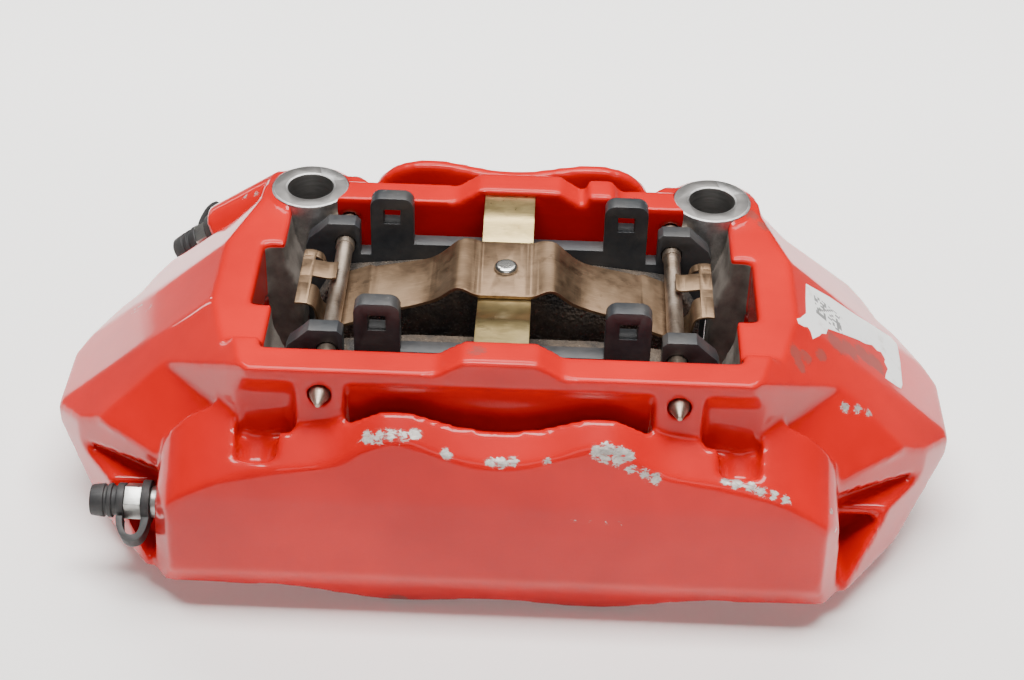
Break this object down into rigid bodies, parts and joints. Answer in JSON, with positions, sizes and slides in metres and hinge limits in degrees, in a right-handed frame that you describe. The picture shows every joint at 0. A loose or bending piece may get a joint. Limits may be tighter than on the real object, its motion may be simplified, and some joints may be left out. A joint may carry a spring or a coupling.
{
  "type": "fixed brake caliper",
  "caption": "Red fixed disc brake caliper with opposed pistons, pads, retaining pins and a riveted cross spring in its open window.",
  "frame": {"origin": "midway between the two mounting bolt axes, on the seat face of the lugs that rests on the knuckle", "axes": "+Z along the mounting bolts away from the disc's axle, +X along the row of the two bolts, +Y inboard towards the knuckle and -Y outboard towards the wheel"},
  "size_m": [0.282, 0.1381, 0.0937],
  "materials": {
    "body_paint": "gloss",
    "piston_alloy": "satin",
    "seal_rubber": "matte",
    "boot_rubber": "matte",
    "plate_black": "satin",
    "friction_lining": "matte",
    "shim_steel": "satin",
    "pin_steel": "satin",
    "sleeve_steel": "satin",
    "clip_bronze": "satin",
    "leaf_bronze": "satin",
    "strip_brass": "satin",
    "rivet_steel": "polished",
    "bleeder_zinc": "satin",
    "cap_rubber": "matte",
    "strap_rubber": "matte"
  },
  "bodies": {
    "housing": {"caliper_body": "body_paint", "seal_outboard_left": "seal_rubber", "seal_outboard_right": "seal_rubber", "seal_inboard_left": "seal_rubber", "seal_inboard_right": "seal_rubber", "dust_boot_outboard_left": "boot_rubber", "dust_boot_outboard_right": "boot_rubber", "dust_boot_inboard_left": "boot_rubber", "dust_boot_inboard_right": "boot_rubber", "spring_leaf": "leaf_bronze", "spring_strip": "strip_brass", "spring_rivet": "rivet_steel", "side_clip_left": "clip_bronze", "side_clip_right": "clip_bronze", "bleed_strap_outboard": "strap_rubber", "bleed_strap_inboard": "strap_rubber"},
    "pad_outboard": {"backing_plate_outboard": "plate_black", "lining_outboard": "friction_lining", "shim_outboard": "shim_steel"},
    "pad_inboard": {"backing_plate_inboard": "plate_black", "lining_inboard": "friction_lining", "shim_inboard": "shim_steel"},
    "piston_body_outboard_left": {"piston_outboard_left": "piston_alloy"},
    "piston_body_outboard_right": {"piston_outboard_right": "piston_alloy"},
    "piston_body_inboard_left": {"piston_inboard_left": "piston_alloy"},
    "piston_body_inboard_right": {"piston_inboard_right": "piston_alloy"},
    "pin_left": {"retaining_pin_left": "pin_steel", "pin_sleeve_left": "sleeve_steel"},
    "pin_right": {"retaining_pin_right": "pin_steel", "pin_sleeve_right": "sleeve_steel"},
    "screw_outboard": {"bleed_screw_outboard": "bleeder_zinc"},
    "screw_inboard": {"bleed_screw_inboard": "bleeder_zinc"},
    "cap_outboard": {"bleed_cap_outboard": "cap_rubber"},
    "cap_inboard": {"bleed_cap_inboard": "cap_rubber"}
  },
  "joints": [
    {"name": "pad_outboard_slide", "type": "slide", "parent": "housing", "child": "pad_outboard", "axis": [0, 1, 0], "range_m": [0, 0.009]},
    {"name": "piston_outboard_left_slide", "type": "slide", "parent": "housing", "child": "piston_body_outboard_left", "axis": [0, 1, 0], "range_m": [0, 0.009], "deforming": ["dust_boot_outboard_left"]},
    {"name": "piston_outboard_right_slide", "type": "slide", "parent": "housing", "child": "piston_body_outboard_right", "axis": [0, 1, 0], "range_m": [0, 0.009], "deforming": ["dust_boot_outboard_right"]},
    {"name": "pad_inboard_slide", "type": "slide", "parent": "housing", "child": "pad_inboard", "axis": [0, -1, 0], "range_m": [0, 0.009]},
    {"name": "piston_inboard_left_slide", "type": "slide", "parent": "housing", "child": "piston_body_inboard_left", "axis": [0, -1, 0], "range_m": [0, 0.009], "deforming": ["dust_boot_inboard_left"]},
    {"name": "piston_inboard_right_slide", "type": "slide", "parent": "housing", "child": "piston_body_inboard_right", "axis": [0, -1, 0], "range_m": [0, 0.009], "deforming": ["dust_boot_inboard_right"]},
    {"name": "pin_left_slide", "type": "slide", "parent": "housing", "child": "pin_left", "axis": [0, 1, 0], "range_m": [0, 0.115]},
    {"name": "pin_right_slide", "type": "slide", "parent": "housing", "child": "pin_right", "axis": [0, 1, 0], "range_m": [0, 0.115]},
    {"name": "bleed_screw_outboard_turn", "type": "hinge", "parent": "housing", "child": "screw_outboard", "pos_m": [-0.1045, -0.0933, -0.0195], "axis": [-1, 0, 0], "range_deg": [0, 270]},
    {"name": "bleed_cap_outboard_slide", "type": "slide", "parent": "housing", "child": "cap_outboard", "axis": [-1, 0, 0], "range_m": [0, 0.01], "deforming": ["bleed_strap_outboard"]},
    {"name": "bleed_screw_inboard_turn", "type": "hinge", "parent": "housing", "child": "screw_inboard", "pos_m": [-0.097, 0.012, 0.0095], "axis": [-0.7999, 0.12, -0.588], "range_deg": [0, 270]},
    {"name": "bleed_cap_inboard_slide", "type": "slide", "parent": "housing", "child": "cap_inboard", "axis": [-0.7999, 0.12, -0.588], "range_m": [0, 0.01], "deforming": ["bleed_strap_inboard"]}
  ],
  "couplings": [
    {"joint": "piston_outboard_left_slide", "follows": "pad_outboard_slide", "ratio": 1},
    {"joint": "piston_outboard_right_slide", "follows": "pad_outboard_slide", "ratio": 1},
    {"joint": "piston_inboard_left_slide", "follows": "pad_inboard_slide", "ratio": 1},
    {"joint": "piston_inboard_right_slide", "follows": "pad_inboard_slide", "ratio": 1}
  ]
}
